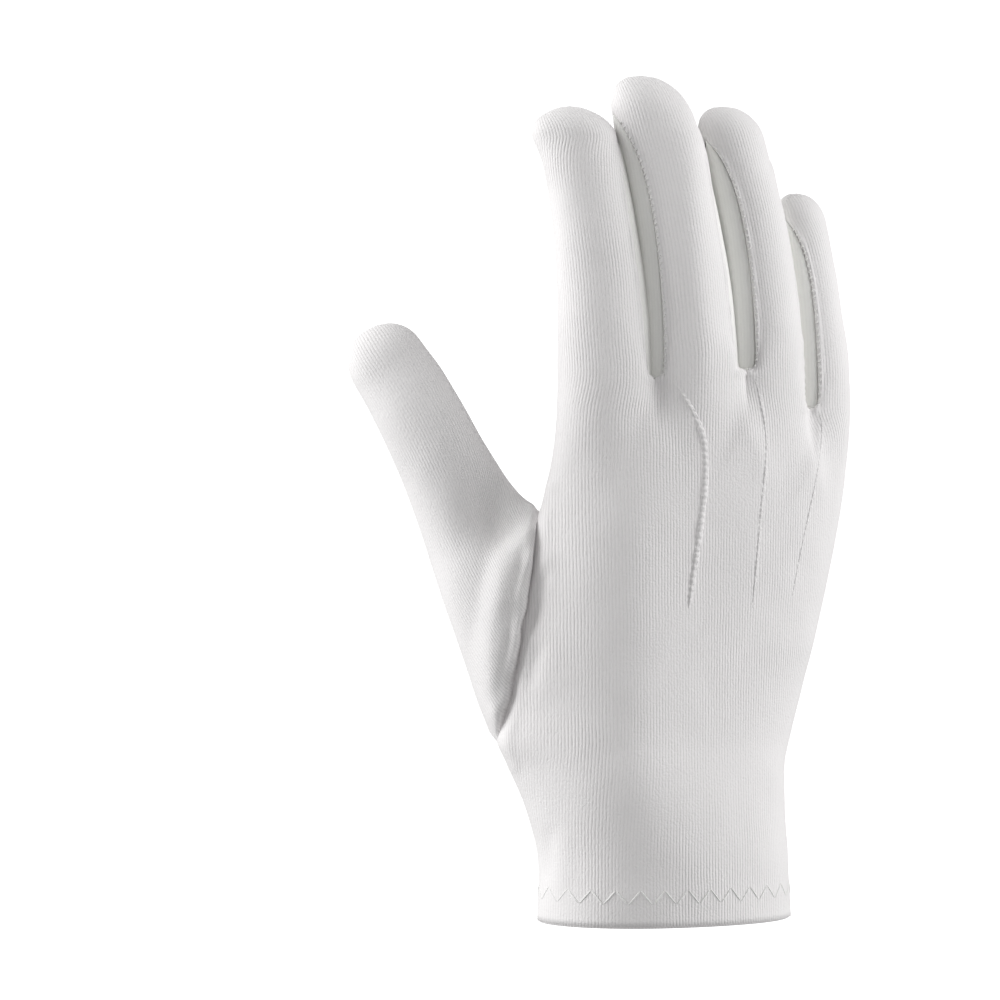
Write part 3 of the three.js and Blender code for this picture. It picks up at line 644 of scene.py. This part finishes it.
# small gathers beside the seam, and the hollow of the web above the fold
on_back = smooth(np.sin(round_turn), 0.1, 0.7)
gathers = 0.8 * lumps(sleeve, 5, 10) * ridge(way, 0.05, 0.06)
web_x, web_z = -49, 116
hollow = -5 * on_back * ridge(sleeve[..., 0], web_x, 9) * ridge(sleeve[..., 2], web_z, 11)
soft = 0.3 * lumps(sleeve, 20, 8) + 0.12 * lumps(sleeve, 8, 9)
lift = np.concatenate([np.zeros((3, 121)), (gathers + hollow + soft * smooth(way, 0, 0.08))[3:]])
rows, columns = (np.gradient(sleeve, axis=k) for k in (0, 1))
out = np.cross(columns, rows)
out /= np.maximum(np.linalg.norm(out, axis=-1, keepdims=True), 1e-12)
sleeve = sleeve + out * (lift * (1 - smooth(way, 0.97, 1)))[..., None]
# a puffed fold lies over the seam on the back; its crest runs down the sleeve from the web
crest = np.array([(51, -48.6), (75.7, -51.6), (86.4, -49.9), (105.3, -46.1), (117.7, -34.5)])
across, _, up = np.moveaxis(sleeve, -1, 0)
past_crest = smooth(across - np.interp(up, *crest.T), -6, 1)
puff = (2.9 + 0.4 * lumps(sleeve, 7, 31)) * on_back * smooth(way, 0, 0.045) * past_crest
sleeve[..., 1] -= puff * smooth(up, 48, 60) * (1 - smooth(up, 112, 120))
# small creases in the fold, side by side along it
for start, end, high in [((-38, 108), (-42.5, 92), 0.7), ((-41, 107), (-46, 86), -0.6),
                         ((-40.5, 93), (-44.5, 74), 0.7), ((-44, 90), (-47.5, 68), -0.5)]:
    sleeve[..., 1] -= high * on_back * smooth(way, 0, 0.03) * fold(sleeve, start, end, 1.1)
thumb = made("thumb_cloth", *joined_mesh([(sleeve, coords)]), stockinette, cloth_thickness)
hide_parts("thumb")


# The raised points: three narrow tucks on the back, each pinched up and sewn through with a short
# stitch. The first stands nearly 1 mm high as a beaded ridge, and the other two only just show.
# height, across
point_rows = {
    "index": [(0.569, 0.071), (0.748, 0.119), (0.833, 0.131),
              (0.893, 0.115), (0.955, 0.057), (0.982, 0.022)],
    "middle": [(0.563, 0.293), (0.734, 0.321), (0.87, 0.341), (0.965, 0.315), (0.99, 0.298)],
    "ring": [(0.578, 0.431), (0.671, 0.465), (0.778, 0.509),
             (0.87, 0.54), (0.915, 0.54), (0.932, 0.515)],
}
point_heights, point_breadths = (0.85, 0.32, 0.28), (0.9, 0.55, 0.5)
back_share = np.linspace(0, 1, 61)


def on_back_at(across, height):
    """The back's surface at a place across the hand: found on the row of points at that height by
    its distance across, as whole rows at once."""
    lines = []
    for n in range(4):
        crotch = lerp(crotch_heights[n], crotch_heights[n + 1], back_share)
        lines.append(glove_point(n, "back", back_share, np.minimum(height[:, None] / crotch, 1)))
    line = np.concatenate(lines, 1)
    x = np.maximum.accumulate(line[..., 0], 1)
    k = np.clip((x < across[:, None]).sum(1), 1, x.shape[1] - 1)
    row = np.arange(len(k))
    a, b = line[row, k - 1], line[row, k]
    t = ((across - a[:, 0]) / np.maximum(b[:, 0] - a[:, 0], 1e-9))[:, None]
    return lerp(a, b, np.clip(t, 0, 1))


for (name, rows), tall, broad in zip(point_rows.items(), point_heights, point_breadths):
    rows = np.array(rows)
    length = (rows[-1, 0] - rows[0, 0]) * palm_height
    steps = int(length / 0.25)
    height = np.linspace(rows[0, 0], rows[-1, 0], steps)
    across = column_at(rows, height, 1) * palm_breadth
    height = height * palm_height
    seat = on_back_at(across, height)
    side = on_back_at(across + 1, height) - on_back_at(across - 1, height)
    side /= np.linalg.norm(side, axis=1, keepdims=True)
    out = np.stack([side[:, 1], -side[:, 0], 0 * side[:, 0]], -1)
    out /= np.linalg.norm(out, axis=1, keepdims=True)
    turn = np.linspace(np.pi, 0, 15)
    q = np.linspace(-1, 1, steps)
    fade = np.sqrt(np.maximum(1 - np.abs(q) ** 8, 0))
    beads = np.abs(np.sin(np.pi * height / stitch_spacing + 1.3 * lumps(seat, 4, 21)))
    bead = 0.4 + 0.6 * beads + 0.35 * lumps(seat, 3, 20)
    rise = (tall * fade * bead)[:, None, None]
    wide = (broad * fade * (0.8 + 0.2 * bead))[:, None, None]
    tuck = (seat[:, None] + (swell(seat) + bone_ridge(seat) - 0.1)[:, None, None] * out[:, None]
            + out[:, None] * (rise * np.sin(turn)[None, :, None] ** 0.8)
            + side[:, None] * (wide * -np.cos(turn)[None, :, None]))
    coords = np.stack(np.broadcast_arrays(turn[None] * 0.8, height[:, None]), -1)
    tuck = made(f"back_point_{name}_tuck", *joined_mesh([(tuck[:, ::-1], coords)]), stockinette)
    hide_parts(f"back_point_{name}")


# The hem: the wrist's edge is turned up inside by 10 mm and sewn down with a zigzag. The fold at
# the bottom is round, and the turned band lies against the inside.
angle = np.concatenate([
    np.linspace(*ring_ends(n, "back"), 49)[:-1] for n in range(4)] + [
    np.linspace(*ring_ends(3, "little"), 25)[:-1]] + [
    np.linspace(*ring_ends(n, "palm"), 33)[:-1] for n in (3, 2, 1, 0)] + [
    np.linspace(*ring_ends(0, "thumb"), 33)])
# the band's section: the round fold, then the band; how far inside the edge it lies and how high
roll = np.linspace(0, np.pi, 13)
inset = np.concatenate([[0.25], 1.55 - 1.3 * np.cos(roll), [2.7, 2.65, 2.6, 2.7, 2.9]])
height = np.concatenate([[1.2], 0.2 - 0.9 * np.sin(roll), [2.5, 5, 7.5, 9.6, 10.4]])
edge = ring_point(angle, 0)
tangent = np.gradient(edge, axis=0)
out = np.stack([tangent[:, 1], -tangent[:, 0], 0 * tangent[:, 0]], -1)
out /= np.linalg.norm(out, axis=1, keepdims=True)
band = edge[None] + out[None] * (0.3 - inset)[:, None, None]
band[..., 2] = height[:, None]
reach_round = np.linalg.norm(tangent, axis=1).cumsum()
coords = np.stack(np.broadcast_arrays(reach_round[None], -height[:, None]), -1)
hem = made("cuff_hem_band", *joined_mesh([(band[::-1], coords[::-1])]), stockinette)
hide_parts("cuff_hem")


# The sewing thread: bleached two-ply cotton, 0.4 mm thick. It zigzags round the hem and overcasts
# the seams of the side strips on the back of the middle, ring and little fingers, where it is drawn
# a little thicker, so that it shows.
def thread_material():
    """Bleached cotton thread, twisted from two plies: matt white with a fine fuzz."""
    material = bpy.data.materials.new("bleached_cotton_thread")
    material.use_nodes = True
    tree = material.node_tree
    tree.nodes.clear()
    body = add(tree, "ShaderNodeTexCoord")["Object"]
    fuzz = add(tree, "ShaderNodeTexNoise", {}, Vector=body, Scale=3000.0, Detail=1.0)["Fac"]
    shade = add(tree, "ShaderNodeMix", {"data_type": "RGBA"}, in0=fuzz, in6=linear("#EEEEEA"),
                in7=linear("#FFFFFF"))[2]
    bump = add(tree, "ShaderNodeBump", {}, Strength=0.6, Distance=0.0001, Height=fuzz)[0]
    shader = add(tree, "ShaderNodeBsdfPrincipled", {}, Base_Color=shade, Roughness=0.8,
                 Specular_IOR_Level=0.3, Sheen_Weight=0.2, Normal=bump)[0]
    add(tree, "ShaderNodeOutputMaterial", {}, Surface=shader)
    return material


thread = thread_material()


def stitched(name, starts, ends, outs, radius, rise):
    """Threads from start to end: point = start + t · (end - start) + rise · 4t(1 - t) · out +
    radius · (1 - (2t - 1)^6)^½ · (cos a · side + sin a · out), closed at both ends."""
    t = np.linspace(0, 1, 9)[None, :, None, None]
    a = np.linspace(0, 2 * np.pi, 7)[None, None, :, None]
    starts, ends, outs = (v[:, None, None, :] for v in (starts, ends, outs))
    side = np.cross(ends - starts, outs)
    side /= np.maximum(np.linalg.norm(side, axis=-1, keepdims=True), 1e-9)
    thick = radius * np.sqrt(np.maximum(1 - (2 * t - 1) ** 6, 0))
    points = (starts + t * (ends - starts) + rise * 4 * t * (1 - t) * outs
              + thick * (np.cos(a) * side + np.sin(a) * outs))
    coords = np.zeros((*points.shape[:-1], 2))
    piece = made(name, *joined_mesh([(points, coords)]), thread)


around = np.concatenate([[0], np.linalg.norm(np.diff(edge, axis=0), axis=1).cumsum()])
zigzag_spacing, zigzag_low, zigzag_high = 7.0, 6.2, 10.3
turns = 2 * round(around[-1] / zigzag_spacing)
needle = np.interp(np.linspace(0, around[-1], turns + 1), around, angle)
level = np.where(np.arange(turns + 1) % 2, zigzag_high, zigzag_low)
holes = ring_point(needle, level)
beside = ring_point(needle + 1, level) - holes
out = np.stack([beside[:, 1], -beside[:, 0], 0 * level], -1)
out /= np.linalg.norm(out, axis=1, keepdims=True)
holes = holes + (0.1 + swell(holes))[:, None] * out
stitched("hem_zigzag_thread", holes[:-1], holes[1:], (out[:-1] + out[1:]) / 2, 0.2, 0.12)

# three rows of overcast stitches, from each side strip over the edge of the next finger's back, up
# to where the strip's end is too near the tip to show them
for number in (1, 2, 3):
    fine = np.linspace(1.0, 1.84, 400)
    seam = glove_point(number, "back", 0, fine)
    gone = np.concatenate([[0], np.linalg.norm(np.diff(seam, axis=0), axis=1).cumsum()])
    place = np.arange(1.5, gone[-1], stitch_spacing)
    low, high = np.interp(place, gone, fine), np.interp(place + 0.9, gone, fine)
    start = glove_point(number, "back", 0, low)
    end = glove_point(number, "back", 0.06, high)
    out = np.cross(end - start, glove_point(number, "back", 0.06, high + 0.01) - end)
    out /= np.linalg.norm(out, axis=1, keepdims=True)
    above = end + (0.5 + swell(end))[:, None] * out
    stitched(f"overcast_thread_{number}", start - 0.2 * out, above, out, 0.27, 0.4)


# Stage: a white paper sweep, lit evenly so that it is as white as the photograph's ground.
across, path = np.meshgrid(np.linspace(-4, 4, 9), np.linspace(0, 1, 61))
bend = np.clip((path - 0.45) / 0.2, 0, 1) * np.pi / 2
sweep_y = np.where(path < 0.45, lerp(-4, 3, path / 0.45), 3 + np.sin(bend))
sweep_z = np.where(path < 0.65, 1 - np.cos(bend), lerp(1, 4, (path - 0.65) / 0.35)) - 0.16
mesh = bpy.data.meshes.new("paper_sweep")
sweep_points, sweep_faces, _ = joined_mesh([
    (np.stack([across, sweep_y, sweep_z], -1) * 1000, np.zeros((61, 9, 2)))])
mesh.from_pydata(sweep_points * 0.001, [], sweep_faces)
mesh.shade_smooth()
sweep = bpy.data.objects.new("paper_sweep", mesh)
bpy.context.scene.collection.objects.link(sweep)
paper = bpy.data.materials.new("matt_white_paper")
paper.use_nodes = True
shader = paper.node_tree.nodes["Principled BSDF"]
shader.inputs["Base Color"].default_value = linear("#FAFAFA")
shader.inputs["Roughness"].default_value = 0.9
shader.inputs["Emission Color"].default_value = (1, 1, 1, 1)
shader.inputs["Emission Strength"].default_value = 1.0
mesh.materials.append(paper)
sweep.visible_diffuse = False
sweep.visible_glossy = False

# Studio light: a large soft box on each side, both a little in front of the glove, and weak light
# from all round. They graze the back of the hand, so its middle is darker than its edges.
for name, at, size, power in [("right_soft_box", (1.3, -0.12, 0.35), (1.0, 1.6), 16.5),
                              ("left_soft_box", (-1.12, -0.12, 0.5), (0.9, 1.6), 16)]:
    light = bpy.data.objects.new(name, bpy.data.lights.new(name, "AREA"))
    bpy.context.scene.collection.objects.link(light)
    light.data.shape = "RECTANGLE"
    light.data.size, light.data.size_y = size
    light.data.energy = power
    light.location = at
    aim = np.array([-0.02, 0, 0.12]) - np.array(at)
    light.rotation_euler = (np.arccos(-aim[2] / np.linalg.norm(aim)), 0,
                            np.arctan2(aim[1], aim[0]) - np.pi / 2)
world = bpy.data.worlds.new("soft_room_light")
bpy.context.scene.world = world
world.use_nodes = True
world.node_tree.nodes["Background"].inputs["Color"].default_value = (1, 1, 1, 1)
world.node_tree.nodes["Background"].inputs["Strength"].default_value = 0.37
bpy.context.scene.view_settings.view_transform = "Standard"
